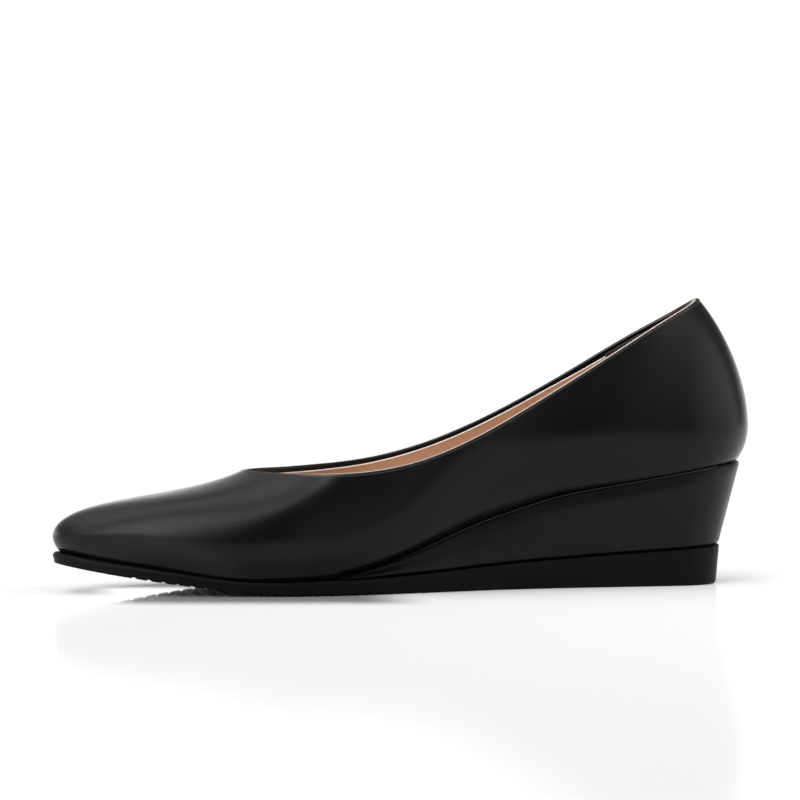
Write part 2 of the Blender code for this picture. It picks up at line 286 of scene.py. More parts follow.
def make_piece(name, sections, material, close_rows=False, caps=False):
    """A grid of (along, across, height) points in millimetres as a smooth mesh in the CAD frame."""
    rows, points = sections.shape[:2]
    flat = sections.reshape(-1, 3)
    placed = np.column_stack([heel_end - flat[:, 0], centre_line + flat[:, 1], flat[:, 2]]) * MM
    faces = grid_faces(rows, points, close_rows) + (end_caps(rows, points) if caps else [])
    mesh = bpy.data.meshes.new(name)
    mesh.from_pydata(placed.tolist(), [], faces)
    merged = bmesh.new()
    merged.from_mesh(mesh)
    bmesh.ops.remove_doubles(merged, verts=merged.verts, dist=MERGE_DISTANCE)
    merged.to_mesh(mesh)
    merged.free()
    mesh.shade_smooth()
    mesh.set_sharp_from_angle(angle=SHARP_ANGLE)
    mesh.materials.append(material)
    piece = bpy.data.objects.new(name, mesh)
    bpy.context.scene.collection.objects.link(piece)
    return piece


def new_material(name):
    """An empty procedural finish: its node tree and its shader."""
    material = bpy.data.materials.new(name)
    material.use_nodes = True
    return material, material.node_tree, material.node_tree.nodes["Principled BSDF"]


def add_node(tree, kind, inputs, **settings):
    """A node with its settings, and its inputs either linked or given a value."""
    node = tree.nodes.new(kind)
    for name, value in settings.items():
        setattr(node, name, value)
    for name, value in inputs.items():
        if isinstance(value, bpy.types.NodeSocket):
            tree.links.new(value, node.inputs[name])
        else:
            node.inputs[name].default_value = value
    return node


def graded(tree, factor, low, high, start, end):
    """A value that runs from low to high while a pattern runs from start to end."""
    return add_node(tree, "ShaderNodeMapRange", {
        "Value": factor, "From Min": start, "From Max": end, "To Min": low, "To Max": high,
    }).outputs["Result"]


def blended(tree, factor, low, high):
    """A colour between two, by a pattern."""
    return add_node(tree, "ShaderNodeMix", {
        "Factor": factor, "A": (*low, 1.0), "B": (*high, 1.0),
    }, data_type="RGBA").outputs["Result"]


def noise(tree, place, scale, detail):
    """A cloudy pattern of a scale, with finer steps of detail in it."""
    node = add_node(tree, "ShaderNodeTexNoise", {"Vector": place, "Scale": scale, "Detail": detail})
    return node.outputs["Fac"]


def embossed(tree, pattern, strength, depth, **under):
    """The surface's normal, bent by a pattern of a depth."""
    node = add_node(tree, "ShaderNodeBump", {
        "Height": pattern, "Strength": strength, "Distance": depth, **under,
    })
    return node.outputs["Normal"]


def rubber():
    """Matte black moulded rubber: a dull skin with a fine grit and slightly greyer patches."""
    material, tree, shader = new_material("matte_black_rubber")
    place = tree.nodes.new("ShaderNodeTexCoord").outputs["Object"]
    patches = noise(tree, place, PATCH_SCALE, detail=3.0)
    grit = noise(tree, place, GRIT_SCALE, detail=2.0)
    colour = blended(tree, patches, RUBBER_DARK, RUBBER_GREY)
    dull = graded(tree, patches, *RUBBER_DULLNESS, *PATCH_RANGE)
    tree.links.new(colour, shader.inputs["Base Color"])
    tree.links.new(dull, shader.inputs["Roughness"])
    tree.links.new(embossed(tree, grit, GRIT_STRENGTH, GRIT_DEPTH), shader.inputs["Normal"])
    shader.inputs["Specular IOR Level"].default_value = RUBBER_SHINE
    return material


def outsole_sections():
    """Sections along the sole: a rounded lower edge notched by the ribs, a leaning side, a rounded rim.

    Under the sole the grooves are at full depth; at the edge of the forefoot they are shallow notches.
    """
    starts = np.arange(RIB_FIRST, RIB_LAST, RIB_PITCH)
    ribs = (starts[:, None] + np.array(RIB_STEPS)).ravel()
    heel = round_end_steps(HEEL_ROUND, HEEL_ROUND_POWER, HEEL_STEPS)
    toe = SOLE_LENGTH - round_end_steps(TOE_ROUND, TOE_ROUND_POWER, TOE_STEPS)
    plain = np.concatenate([heel, toe])
    plain = plain[(plain < RIB_FIRST) | (plain > ribs[-1])]
    along = np.sort(np.concatenate([plain, ribs]))
    shares = along / SOLE_LENGTH
    outer = edge_pair(sole_outline, shares)
    inner = edge_pair(offset(sole_outline, -SOLE_FOOT_INSET), shares)
    cut = groove(along)
    tread = tread_land(along) + NOTCH_DEPTH * cut * smooth_step((along - NOTCH_START) / NOTCH_FADE)
    to_tip = smooth_step((along - SOLE_TIP_START) / SOLE_TIP_REACH)
    top_round = SOLE_TOP_ROUND + (SOLE_TIP_ROUND - SOLE_TOP_ROUND) * to_tip
    rim = outsole_top(along) - top_round
    lean = SOLE_FOOT_INSET / 2 * (1 - (1 - SOLE_TIP_LEAN) * to_tip)
    side_foot = tread_land(along) + SOLE_FOOT_ROUND

    def inset_layer(inset, height):
        return layer(outer + (inner - outer) * (inset / SOLE_FOOT_INSET)[None, :, None], height)

    layers = []
    side_inset = lean * (rim - tread - SOLE_FOOT_ROUND) / (rim - side_foot)
    quarter = np.linspace(0, np.pi / 2, SOLE_ROUND_STEPS)
    for turn in quarter[:-1]:
        inset = side_inset + lean * (1 - np.sin(turn))
        layers.append(inset_layer(inset, tread + SOLE_FOOT_ROUND * (1 - np.cos(turn))))
    for share in np.linspace(0, 1, SOLE_SIDE_STEPS)[:-1]:
        height = tread + SOLE_FOOT_ROUND + share * (rim - tread - SOLE_FOOT_ROUND)
        layers.append(inset_layer(side_inset * (1 - share), height))
    for turn in quarter:
        layers.append(inset_layer(top_round * (1 - np.cos(turn)), rim + top_round * np.sin(turn)))
    across = np.array(TREAD_ACROSS)[None, :, None]
    lateral, medial = layers[0][:, :, None]
    under = lateral * (1 - across) + medial * across
    under[:, :, 2] = (tread_land(along) + GROOVE_DEPTH * cut)[:, None]
    return np.concatenate([lofted(layers), under], axis=1)


outsole = make_piece("ribbed_outsole", outsole_sections(), rubber())
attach(outsole, BODY)
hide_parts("outsole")

# Upper
# A low-cut court upper of thin black leather with a fine grain and no seam that shows. It is pulled over
# the last, its lower edge is turned in under the foot and its topline is folded over.

JOINT_GAP = 0.3
LEATHER = 1.4
LASTING_MARGIN = 11.0
MARGIN_WALL = 1.8
INNER_WALL_START = 0.09
SWELL_PEAK = 3125 / 108
UPPER_AROUND = 460
OUTER_STEPS = 66
INNER_STEPS = 24
RIM_STEPS = 11
LEATHER_DARK = (0.0016, 0.0016, 0.0017)
LEATHER_GREY = (0.0026, 0.0026, 0.0028)
CLOUD_SCALE = 45.0
CLOUD_RANGE = (0.35, 0.65)
GRAIN_SIZE = 0.6
PORE_DEPTH = 0.0001
PEBBLE_DEPTH = 0.00016

# How thick the covered wedge is along the shoe, between the outsole and the bed of the upper
WEDGE_THICKNESS = np.array([
    (-12.0, 29.9),
    (10.0, 28.4),
    (29.0, 26.5),
    (53.0, 24.0),
    (70.0, 21.6),
    (80.0, 19.3),
    (98.0, 14.8),
    (110.0, 10.9),
    (125.0, 6.05),
    (140.0, 2.25),
    (150.0, 0.4),
    (160.0, 0.0),
    (176.0, 0.0),
    (201.0, 0.0),
    (222.0, 0.0),
    (242.0, 0.0),
])

# Sections of the upper from the toe along the lateral side to the heel and back along the medial side:
# feather along and across, foot out and up, top along, across and height, top out and down, and swell
UPPER_SECTIONS = np.array([
    (237.5, 0.6, 14.0, 14.6, 173.2, 2.0, 41.6, 25.0, 11.6, 2.0),
    (231.7, -11.4, 12.9, 14.7, 172.4, -5.4, 41.5, 24.2, 10.8, 1.7),
    (217.4, -21.4, 10.5, 15.0, 170.0, -12.8, 41.3, 21.5, 8.6, 1.1),
    (198.3, -29.6, 8.4, 15.2, 165.0, -21.6, 41.1, 15.6, 7.6, 0.2),
    (176.1, -35.7, 6.9, 14.0, 155.0, -33.0, 41.0, 6.5, 9.0, 0.0),
    (152.0, -37.4, 6.0, 12.5, 140.0, -38.0, 41.4, 0.7, 10.5, 0.0),
    (128.0, -34.0, 8.0, 8.5, 121.0, -39.4, 44.8, 0.8, 11.0, 0.0),
    (104.0, -28.2, 8.5, 6.5, 100.0, -39.2, 53.0, -0.2, 12.0, 0.0),
    (77.0, -24.8, 10.0, 8.5, 76.0, -34.0, 65.6, 3.0, 15.0, 0.0),
    (48.0, -24.8, 10.3, 10.5, 49.0, -28.6, 81.1, 5.0, 21.0, 0.0),
    (22.0, -24.6, 8.5, 10.5, 25.5, -21.4, 94.4, 7.0, 22.5, 0.0),
    (1.6, -17.6, 9.7, 12.0, 11.8, -10.4, 101.0, 11.5, 17.0, 0.0),
    (-7.3, 0.0, 10.8, 11.0, 6.9, 0.0, 103.6, 15.2, 16.5, 0.0),
    (1.6, 17.6, 9.7, 12.0, 10.4, 11.6, 100.0, 10.0, 17.0, 0.0),
    (22.0, 24.4, 8.5, 13.0, 25.5, 21.0, 90.6, 7.0, 20.0, 0.0),
    (48.0, 23.6, 9.5, 14.0, 49.0, 27.2, 76.2, 5.5, 19.0, 0.0),
    (77.0, 20.8, 12.0, 14.0, 76.0, 29.8, 61.4, 4.5, 18.0, 0.0),
    (104.0, 21.6, 12.0, 13.0, 100.0, 30.4, 51.1, 4.5, 17.0, 0.0),
    (128.0, 27.6, 9.0, 12.0, 121.0, 32.4, 45.3, 5.0, 12.0, 0.0),
    (158.0, 35.0, 7.0, 14.0, 143.0, 30.6, 42.7, 7.0, 10.0, 0.0),
    (180.1, 35.8, 6.9, 15.0, 157.5, 24.8, 41.9, 11.5, 7.6, 0.0),
    (200.3, 31.6, 8.4, 16.1, 165.8, 18.4, 41.7, 17.5, 8.0, 0.0),
    (218.4, 23.3, 10.5, 16.2, 170.5, 12.8, 41.5, 21.8, 9.2, 1.8),
    (232.0, 12.2, 12.9, 15.0, 172.5, 7.6, 41.6, 24.4, 10.8, 2.0),
])


def bed(along):
    """The surface that the upper is lasted down to: the outsole's top plus the wedge, if any."""
    wedge = spline(WEDGE_THICKNESS[:, 0], WEDGE_THICKNESS[:, 1], along)[:, 0]
    return outsole_top(along) + np.maximum(wedge, 0.0)


def upper_controls(around):
    """Control points of the sections at places around the shoe: foot, low, high, top, and the swell.

    Closed splines run through the table's rows, spaced by the distance between their middles.
    """
    feather, top = UPPER_SECTIONS[:, :2], UPPER_SECTIONS[:, 4:7]
    foot_out, foot_up, top_out, top_down, swell = UPPER_SECTIONS[:, [2, 3, 7, 8, 9]].T[:, :, None]
    middle = (feather + top[:, :2]) / 2
    steps = np.linalg.norm(np.roll(middle, -1, axis=0) - middle, axis=1)
    knots = np.concatenate([[0], np.cumsum(steps)])
    flat = np.column_stack([outward(feather), np.zeros(len(feather))])
    lift = np.array([0, 0, 1.0])
    foot = np.column_stack([feather, bed(feather[:, 0]) + JOINT_GAP])
    low = foot + foot_out * flat + foot_up * lift
    high = top + top_out * flat - top_down * lift
    rise = (top - foot)[:, 2:]
    reach = np.sum((top - foot) * flat, axis=1)[:, None]
    square = (rise * flat - reach * lift) / np.hypot(rise, reach)
    rows = np.concatenate([foot, low, high, top, swell * square], axis=1)
    controls = spline(knots, rows, around * knots[-1], closed=True).reshape(len(around), 5, 3)
    controls[:, 0, 2] = bed(controls[:, 0, 0]) + JOINT_GAP
    return controls


def section_points(controls, share):
    """Points up each section: a cubic Bezier curve plus a swell that is greatest below its middle."""
    s = share
    weights = np.stack([
        (1 - s) ** 3,
        3 * s * (1 - s) ** 2,
        3 * s**2 * (1 - s),
        s**3,
        SWELL_PEAK * s**2 * (1 - s) ** 3,
    ])
    return np.einsum("kij,ikx->ijx", weights, controls)


def section_slopes(controls, share):
    """How the sections' points move as the share grows: the curve's and the swell's derivatives."""
    s = share
    weights = np.stack([
        -3 * (1 - s) ** 2,
        3 * (1 - s) ** 2 - 6 * s * (1 - s),
        6 * s * (1 - s) - 3 * s**2,
        3 * s**2,
        SWELL_PEAK * s * (1 - s) ** 2 * (2 - 5 * s),
    ])
    return np.einsum("kij,ikx->ijx", weights, controls)


def unit(vectors):
    """Vectors of length one."""
    return vectors / np.linalg.norm(vectors, axis=-1, keepdims=True)


def wall_normals(points, controls, share):
    """Unit normals out of the shoe: across the slope up each section and the slope around the shoe."""
    around = np.roll(points, -1, axis=0) - np.roll(points, 1, axis=0)
    return unit(np.cross(section_slopes(controls, share), around))


around_shoe = np.linspace(0, 1, UPPER_AROUND, endpoint=False)
controls = upper_controls(around_shoe)
RIM_RADIUS = LEATHER / 2
edge_slope = section_slopes(controls, np.ones((UPPER_AROUND, 1)))
rim_share = 1 - RIM_RADIUS / np.linalg.norm(edge_slope, axis=2)


def section_frame(share):
    """Places on each section, with the wall's normals there and the ways up the section."""
    points = section_points(controls, share)
    return points, wall_normals(points, controls, share), unit(section_slopes(controls, share))


def wall(shares, depth):
    """A surface inside the upper's outer face, at shares of each section below its folded rim."""
    points, normal, _ = section_frame(rim_share * np.asarray(shares)[None, :])
    return points - depth * normal


def folded_rim():
    """The folded topline: a half round of leather from the inner face over to the outer one."""
    start, normal, rise = section_frame(rim_share)
    turn = np.linspace(np.pi, 0, RIM_STEPS)[None, :, None]
    return start - RIM_RADIUS * (1 - np.cos(turn)) * normal + RIM_RADIUS * np.sin(turn) * rise


def turned_in(distance, lift):
    """The feather line moved inwards over the bed, as a column of points."""
    loop = offset(controls[:, 0, :2], -distance)
    return np.column_stack([loop, bed(loop[:, 0]) + JOINT_GAP + lift])[:, None]


def upper_sections():
    """Closed sections: margin under the foot, inner wall, folded rim, outer wall and back under."""
    inner = wall(np.linspace(INNER_WALL_START, 1, INNER_STEPS), LEATHER)[:, :-1]
    outer = wall(np.linspace(1, 0, OUTER_STEPS), 0.0)[:, 1:]
    return np.concatenate([
        turned_in(LASTING_MARGIN, MARGIN_WALL),
        turned_in(MARGIN_WALL + JOINT_GAP, MARGIN_WALL),
        inner,
        folded_rim(),
        outer,
        turned_in(LASTING_MARGIN, 0.0),
    ], axis=1)


def black_leather(name, grain, dullness, shine):
    """Satin black leather: fine pebbles and pores in the skin, and a finish that is uneven in gloss."""
    material, tree, shader = new_material(name)
    place = tree.nodes.new("ShaderNodeTexCoord").outputs["Object"]
    scale = 1 / (GRAIN_SIZE * MM)
    pebbles = add_node(tree, "ShaderNodeTexVoronoi", {
        "Vector": place, "Scale": scale,
    }, feature="SMOOTH_F1").outputs["Distance"]
    pores = noise(tree, place, 2 * scale, detail=2.0)
    cloud = noise(tree, place, CLOUD_SCALE, detail=3.0)
    colour = blended(tree, cloud, LEATHER_DARK, LEATHER_GREY)
    dull = graded(tree, cloud, *dullness, *CLOUD_RANGE)
    fine = embossed(tree, pores, grain, PORE_DEPTH)
    tree.links.new(colour, shader.inputs["Base Color"])
    tree.links.new(dull, shader.inputs["Roughness"])
    tree.links.new(embossed(tree, pebbles, grain, PEBBLE_DEPTH, Normal=fine), shader.inputs["Normal"])
    shader.inputs["Specular IOR Level"].default_value = shine
    return material


upper_finish = black_leather("upper_leather", grain=0.14, dullness=(0.18, 0.24), shine=0.18)
upper = make_piece("lasted_upper", upper_sections(), upper_finish, close_rows=True)
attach(upper, BODY)
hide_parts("upper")

# Topline
# The upper's top edge, where the leather is skived thin, folded inwards and hammered round. The roll
# stands a little proud of the wall on both sides and is burnished, so it catches light as a thin line.

EDGE_ROLL = 0.75
HEEL_ROLL = 1.4
HEEL_ROLL_REACH = 0.07
EDGE_TOP = 0.85
EDGE_PROUD = 0.15
ROLL_STEPS = 14


def rolled_edge(path, side, lift, radius):
    """A round roll along a path: at each place a circle from its side downwards and up again."""
    turn = np.linspace(0, 2 * np.pi, ROLL_STEPS, endpoint=False)[None, :, None]
    circle = np.cos(turn) * side[:, None] - np.sin(turn) * lift[:, None]
    return path[:, None] + radius[:, None, None] * circle


rim_start, rim_side, rim_lift = [row[:, 0] for row in section_frame(rim_share)]
heel_back = around_shoe[np.argmin(rim_start[:, 0])]
to_heel = smooth_step(1 - np.abs(around_shoe - heel_back) / HEEL_ROLL_REACH)
roll_radius = EDGE_ROLL + (HEEL_ROLL - EDGE_ROLL) * to_heel
roll_in = (EDGE_PROUD - roll_radius)[:, None] * rim_side
roll_up = (EDGE_TOP - roll_radius)[:, None] * rim_lift
topline = rolled_edge(rim_start + roll_in + roll_up, rim_side, rim_lift, roll_radius)
edge_finish = black_leather("burnished_edge", grain=0.2, dullness=(0.2, 0.27), shine=0.5)
folded_edge = make_piece("folded_topline", topline, edge_finish, close_rows=True)
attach(folded_edge, BODY)

# Highlight line
# A painted highlight: a pale roll laid on the crest of the folded topline on the lateral side only,
# where the burnished roll catches light. It shows as a fine line from the throat to the back of the
# heel.

HIGHLIGHT_LINE = 0.13
HIGHLIGHT_LINE_BACK = 0.27
HIGHLIGHT_LINE_GROW = (0.2, 0.4)
HIGHLIGHT_LINE_FRONT = 170.0
HIGHLIGHT_LINE_PAST_BACK = 0.012
HIGHLIGHT_LINE_TAPER = 14
HIGHLIGHT_LINE_TURN = np.radians(72)
# Pale colours of the painted highlight along the crest of the topline
PAINTED_HIGHLIGHT_PALE = (0.62, 0.54, 0.49)
PAINTED_HIGHLIGHT_DULL = (0.44, 0.37, 0.33)
TAN_CLOUD_SCALE = 60.0
TAN_DULLNESS = (0.55, 0.7)
TAN_PORE_SCALE = 1100.0
TAN_PORE_STRENGTH = 0.3
TAN_PORE_DEPTH = 0.0001


def tan_leather(name, light, dark):
    """Matte undyed or tan leather: soft mottling, small pores and a little gloss where it is rubbed."""
    material, tree, shader = new_material(name)
    place = tree.nodes.new("ShaderNodeTexCoord").outputs["Object"]
    cloud = noise(tree, place, TAN_CLOUD_SCALE, detail=5.0)
    pores = add_node(tree, "ShaderNodeTexVoronoi", {
        "Vector": place, "Scale": TAN_PORE_SCALE,
    }).outputs["Distance"]
    dull = graded(tree, cloud, *TAN_DULLNESS, *CLOUD_RANGE)
    skin = embossed(tree, pores, TAN_PORE_STRENGTH, TAN_PORE_DEPTH)
    tree.links.new(blended(tree, cloud, dark, light), shader.inputs["Base Color"])
    tree.links.new(dull, shader.inputs["Roughness"])
    tree.links.new(skin, shader.inputs["Normal"])
    return material


def end_taper(count, reach):
    """Shares that rise from 0 at both ends of a row of places to 1 a reach further in."""
    place = np.arange(count)
    return smooth_step(np.minimum(place, place[::-1]) / reach)


crest_way = np.cos(HIGHLIGHT_LINE_TURN) * rim_side + np.sin(HIGHLIGHT_LINE_TURN) * rim_lift
crest = topline.mean(axis=1) + roll_radius[:, None] * crest_way
in_highlight = (rim_start[:, 0] < HIGHLIGHT_LINE_FRONT) & (around_shoe < heel_back + HIGHLIGHT_LINE_PAST_BACK)
grow_start, grow_end = HIGHLIGHT_LINE_GROW
growth = smooth_step((around_shoe[in_highlight] - grow_start) / (grow_end - grow_start))
highlight_radius = HIGHLIGHT_LINE + (HIGHLIGHT_LINE_BACK - HIGHLIGHT_LINE) * growth
highlight_roll = rolled_edge(
    crest[in_highlight],
    rim_side[in_highlight],
    rim_lift[in_highlight],
    highlight_radius * end_taper(len(highlight_radius), HIGHLIGHT_LINE_TAPER),
)
# A pale finish painted on as the highlight that the lateral topline catches
painted_highlight_finish = tan_leather("painted_highlight_leather", PAINTED_HIGHLIGHT_PALE, PAINTED_HIGHLIGHT_DULL)
painted_highlight_line = make_piece("painted_highlight_line", highlight_roll, painted_highlight_finish)
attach(painted_highlight_line, BODY)

# Wedge
# A light wedge between the outsole and the back half of the upper, thinning to nothing under the ball.
# It is wrapped in the upper's leather, which is turned in at its lower edge and under the feather line.

WEDGE_FRONT = 146.0
WEDGE_FOOT_INSET = 1.9
WEDGE_FOOT_ROUND = 2.0
WEDGE_OVERHANG = 0.2
WEDGE_LEDGE = 1.0
WEDGE_TOP_INSET = 2.4
WEDGE_TOP_ROUND = 5.0
WEDGE_BACK_ROUND = 0.25
WEDGE_ROUND_REACH = 30.0
WEDGE_ROUND_SHARE = 1 / 3
WEDGE_STATIONS = 150
WEDGE_FOOT_STEPS = 7
WEDGE_SIDE_STEPS = 9
WEDGE_TOP_STEPS = 6


def wedge_sections():
    """Sections along the wedge: a rolled lower edge, a straight side, a rounded top."""
    shares = 1 - np.cos(np.linspace(0, np.pi / 2, WEDGE_STATIONS))
    feather = upper_controls(np.linspace(0, 1, LOOP_POINTS, endpoint=False))[:, 0, :2]
    foot, side, ledge, top = [edge_pair(loop, shares, WEDGE_FRONT) for loop in (
        offset(sole_outline, -WEDGE_FOOT_INSET),
        offset(sole_outline, WEDGE_OVERHANG),
        offset(feather, WEDGE_LEDGE),
        offset(feather, WEDGE_LEDGE - WEDGE_TOP_INSET),
    )]

    def low(along):
        return outsole_top(along) + JOINT_GAP

    def roll(along, most):
        return np.minimum(most, (bed(along) - low(along)) * WEDGE_ROUND_SHARE)

    from_heel = smooth_step((ledge[0, :, 0] - ledge[0, 0, 0]) / WEDGE_ROUND_REACH)
    shoulder = WEDGE_BACK_ROUND + (1 - WEDGE_BACK_ROUND) * from_heel
    top = ledge + (top - ledge) * shoulder[None, :, None]

    layers = []
    for turn in np.linspace(0, np.pi / 2, WEDGE_FOOT_STEPS):
        edges = foot + (side - foot) * np.sin(turn)
        along = edges[0, :, 0]
        layers.append(layer(edges, low(along) + roll(along, WEDGE_FOOT_ROUND) * (1 - np.cos(turn))))
    side_low = layers[-1]
    along = ledge[0, :, 0]
    side_high = layer(ledge, bed(along) - roll(along, WEDGE_TOP_ROUND * shoulder))
    for share in np.linspace(0, 1, WEDGE_SIDE_STEPS)[1:-1]:
        layers.append(side_low + (side_high - side_low) * share)
    for turn in np.linspace(0, np.pi / 2, WEDGE_TOP_STEPS):
        edges = ledge + (top - ledge) * (1 - np.cos(turn))
        along = edges[0, :, 0]
        drop = roll(along, WEDGE_TOP_ROUND * shoulder) * (1 - np.sin(turn))
        layers.append(layer(edges, bed(along) - drop))
    return lofted(layers)


wedge_finish = black_leather("wedge_leather", grain=0.18, dullness=(0.3, 0.38), shine=0.17)
wedge = make_piece("covered_wedge", wedge_sections(), wedge_finish, caps=True)
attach(wedge, BODY)
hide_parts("wedge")

# Wedge edge
# The folded upper edge of the wedge's leather, a fine roll pressed against the upper along the feather
# line. It runs from the front of the wedge round the heel and tapers away at both ends.

SEAM_ROLL = 0.3
SEAM_END = 0.02
SEAM_OUT = -0.15
SEAM_LIFT = -0.3
SEAM_FRONT = 138.0
SEAM_TAPER = 40

seam_full = offset(controls[:, 0, :2], SEAM_OUT)
in_seam = seam_full[:, 0] < SEAM_FRONT
seam_loop = seam_full[in_seam]
seam_roll = rolled_edge(
    np.column_stack([seam_loop, bed(seam_loop[:, 0]) + SEAM_LIFT]),
    np.column_stack([outward(seam_full)[in_seam], np.zeros(len(seam_loop))]),
    np.tile((0.0, 0.0, 1.0), (len(seam_loop), 1)),
    SEAM_END + (SEAM_ROLL - SEAM_END) * end_taper(len(seam_loop), SEAM_TAPER),
)
wedge_edge = make_piece("wedge_edge_roll", seam_roll, edge_finish, caps=True)
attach(wedge_edge, BODY)

# Lining
# Thin tan leather glued to the inside of the upper, from the sock up to just below the folded topline,
# where its cut edge shows as a paler line. It stops at the heel grip on both sides.

LINING = 0.6
LINING_DROP = 1.1
LINING_END_DROP = 1.0
LINING_END_REACH = 0.06
LINING_FOOT = 0.1
LINING_STEPS = 26
SHEET_CROWN = 0.3
GRIP_START = 0.43
GRIP_END = 0.6
TAN_LIGHT = (0.5, 0.29, 0.185)
TAN_DARK = (0.42, 0.235, 0.145)


def drop_share(distance):
    """The share of each section that lies a distance below its folded rim, as a column."""
    return 1 - distance / np.linalg.norm(edge_slope, axis=2) / rim_share


def inside_sheet(rows, low, drop, depth, thickness):
    """A thin sheet on the inner wall: up its back, over its rounded top edge and down its face."""
    steps = np.linspace(0, 1, LINING_STEPS)[None, :]
    share = low + (drop_share(drop) - low) * steps
    points, normal, rise = section_frame(rim_share * share)
    thick = thickness[:, None, None]
    back = points - depth * normal
    face = points - (depth + thick) * normal
    crown = (back[:, -1:] + face[:, -1:]) / 2 + SHEET_CROWN * thick * rise[:, -1:]
    return np.concatenate([back, crown, face[:, ::-1]], axis=1)[rows][:, ::-1]


in_grip = (around_shoe >= GRIP_START) & (around_shoe <= GRIP_END)
grip_rows = np.flatnonzero(in_grip)
lining_rows = np.roll(np.arange(UPPER_AROUND), -grip_rows[-1])[: UPPER_AROUND - len(grip_rows) + 2]
lining_thickness = np.full(UPPER_AROUND, LINING)
from_grip = np.where(around_shoe > GRIP_END, around_shoe - GRIP_END, GRIP_START - around_shoe)
lining_drop = LINING_DROP + LINING_END_DROP * smooth_step(1 - from_grip / LINING_END_REACH)[:, None]
lining = make_piece(
    "tan_lining",
    inside_sheet(lining_rows, LINING_FOOT, lining_drop, LEATHER, lining_thickness),
    tan_leather("lining_leather", TAN_LIGHT, TAN_DARK),
    caps=True,
)
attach(lining, BODY)

# Lining edge
# The lining's trimmed upper edge, where the pale undyed middle of the leather shows. It stands a little
# proud of the black fold above it and runs as far as the heel grip on both sides.

CUT_EDGE = 0.26
CUT_PALE = (0.85, 0.76, 0.68)
CUT_DULL = (0.72, 0.61, 0.52)

cut_share = rim_share * drop_share(lining_drop)
cut_start, cut_side, cut_lift = [row[:, 0] for row in section_frame(cut_share)]
cut_edge = rolled_edge(
    cut_start - (LEATHER + LINING - CUT_EDGE / 2) * cut_side,
    cut_side,
    cut_lift,
    np.full(UPPER_AROUND, CUT_EDGE),
)
lining_edge = make_piece(
    "lining_cut_edge",
    cut_edge[lining_rows],
    tan_leather("cut_edge", CUT_PALE, CUT_DULL),
    caps=True,
)
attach(lining_edge, BODY)

# Heel grip
# A soft black piece with a short nap inside the back of the heel, where the lining stops. It is a little
# thicker than the lining, thins to its two front edges and is stitched in under the folded topline.

GRIP = 1.1
GRIP_EDGE_RATE = 6
NAP_DARK = (0.008, 0.008, 0.008)
NAP_GREY = (0.018, 0.017, 0.017)
NAP_CLOUD_SCALE = 120.0
NAP_DULLNESS = 0.9
NAP_SHEEN = 0.15
FIBRE_SCALE = 3000.0
FIBRE_STRENGTH = 0.5
FIBRE_DEPTH = 0.0002


def black_nap():
    """Black napped leather: very dull, with short fibres that scatter light and small uneven patches."""
    material, tree, shader = new_material("black_nap")
    place = tree.nodes.new("ShaderNodeTexCoord").outputs["Object"]
    cloud = noise(tree, place, NAP_CLOUD_SCALE, detail=4.0)
    fibres = noise(tree, place, FIBRE_SCALE, detail=2.0)
    tree.links.new(blended(tree, cloud, NAP_DARK, NAP_GREY), shader.inputs["Base Color"])
    tree.links.new(embossed(tree, fibres, FIBRE_STRENGTH, FIBRE_DEPTH), shader.inputs["Normal"])
    shader.inputs["Roughness"].default_value = NAP_DULLNESS
    shader.inputs["Sheen Weight"].default_value = NAP_SHEEN
    return material


grip_place = np.clip((around_shoe - GRIP_START) / (GRIP_END - GRIP_START), 0, 1)
from_edge = np.minimum(grip_place, 1 - grip_place)
grip_thickness = LINING + (GRIP - LINING) * smooth_step(GRIP_EDGE_RATE * from_edge)
heel_grip = make_piece(
    "heel_grip",
    inside_sheet(grip_rows, LINING_FOOT, LINING_DROP, LEATHER, grip_thickness),
    black_nap(),
    caps=True,
)
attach(heel_grip, BODY)

# Sock
# The tan leather sock on the insole board, which lies on the turned-in margin of the upper and fills the
# floor of the shoe from wall to wall, dished a little across so that the foot sits in it.

SOCK_UNDER = 2.4
SOCK_TOP = 5.4
SOCK_EDGE_SHARE = 0.12
SOCK_CLEARANCE = 0.1
SOCK_FOOT_INSET = 3.6
SOCK_DISH = 0.7
SOCK_STATIONS = 120
SOCK_ACROSS = 16


def sock_sections():
    """Sections along the sock: a straight edge and a top that dips by a square across its width."""
    shares = (1 - np.cos(np.linspace(0, np.pi, SOCK_STATIONS))) / 2
    edge_loop = wall([SOCK_EDGE_SHARE], LEATHER + LINING + SOCK_CLEARANCE)[:, 0, :2]
    foot = edge_pair(offset(controls[:, 0, :2], -SOCK_FOOT_INSET), shares)
    edge = edge_pair(edge_loop, shares)
    under = layer(foot, bed(foot[0, :, 0]) + SOCK_UNDER)
    along = edge[0, :, 0]
    across = np.linspace(0, 1, SOCK_ACROSS)[None, :, None]
    plan = edge[0][:, None] * (1 - across) + edge[1][:, None] * across
    dip = SOCK_DISH * (1 - (2 * across[:, :, 0] - 1) ** 2) * np.ones((SOCK_STATIONS, 1))
    top = np.concatenate([plan, (bed(along)[:, None] + SOCK_TOP - dip)[:, :, None]], axis=2)
    return np.concatenate([under[0][:, None], top, under[1][:, None]], axis=1)


sock = make_piece("tan_sock", sock_sections(), tan_leather("sock_leather", TAN_LIGHT, TAN_DARK))
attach(sock, BODY)
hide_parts("insole")

# Studio
# A white tabletop with a faint gloss, a white backdrop behind the shoe, a broad soft light from the left
# and weaker ones from the right. The room on the camera's side is dim, which leaves the near wall dark.

FLOOR_BACK = 6.0
FLOOR_FRONT = -0.52
FLOOR_DROP = 0.0001
FLOOR_GLOSS = 0.15
FLOOR_WHITE = (0.78, 0.78, 0.78, 1.0)
GLOSS_ROUGHNESS = 0.12
PURE_WHITE = (1.0, 1.0, 1.0, 1.0)

